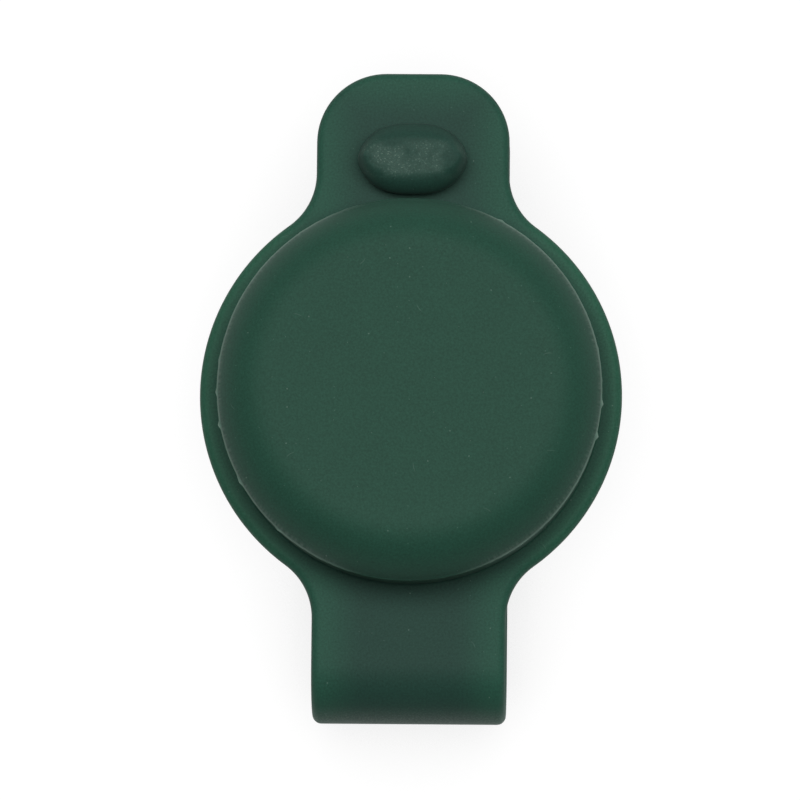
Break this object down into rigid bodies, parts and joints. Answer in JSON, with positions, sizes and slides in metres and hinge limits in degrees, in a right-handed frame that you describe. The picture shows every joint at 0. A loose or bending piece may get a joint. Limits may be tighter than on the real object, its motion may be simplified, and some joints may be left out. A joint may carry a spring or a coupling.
{
  "type": "tracker tag holder",
  "caption": "Soft silicone loop holder for a coin-shaped tracker tag: round pocket with a lip, and a strap that folds back and buttons through a slotted tab.",
  "frame": {"origin": "middle of the area covered by the part, on the back of the rear run of the strap, which it lies on", "axes": "+Z out of the pocket's face, +Y from the fold to the buttoned tab, +X across the strap"},
  "size_m": [0.0382, 0.0589, 0.018],
  "materials": {
    "silicone": "matte moulded silicone",
    "tag_plastic": "gloss",
    "body_plastic": "satin",
    "steel": "spun",
    "cell_steel": "nickel plated",
    "antenna": "satin",
    "board": "solder mask",
    "chips": "moulded",
    "magnet": "nickel plated",
    "copper": "enamelled wire",
    "gold": "gold flash",
    "seal": "moulded"
  },
  "bodies": {
    "holder": {"pocket": "silicone", "button_tab": "silicone", "front_strap": "silicone", "fold_front": "silicone", "tag_cap": "tag_plastic", "tag_chassis": "body_plastic", "antenna_ring": "antenna", "circuit_board": "board", "board_chips": "chips", "speaker_yoke": "cell_steel", "speaker_magnet": "magnet", "voice_coil": "copper", "battery_contacts": "gold", "cell_can": "cell_steel", "cell_seal": "seal", "cell_cap": "cell_steel"},
    "strap": {"fold_rear": "silicone", "rear_strap": "silicone", "rear_rise": "silicone", "tongue": "silicone", "button_stud": "silicone"},
    "cover": {"battery_cover": "steel"}
  },
  "joints": [
    {"name": "strap_open", "type": "hinge", "parent": "holder", "child": "strap", "pos_m": [0, -0.0294, 0.0051], "axis": [-1, 0, 0], "range_deg": [0, 100], "stiffness_Nm_per_rad": 0.005, "deforming": ["button_stud"]},
    {"name": "cover_twist", "type": "hinge", "parent": "holder", "child": "cover", "pos_m": [0, 0, 0.0089], "axis": [0, 0, -1], "range_deg": [0, 20]}
  ]
}
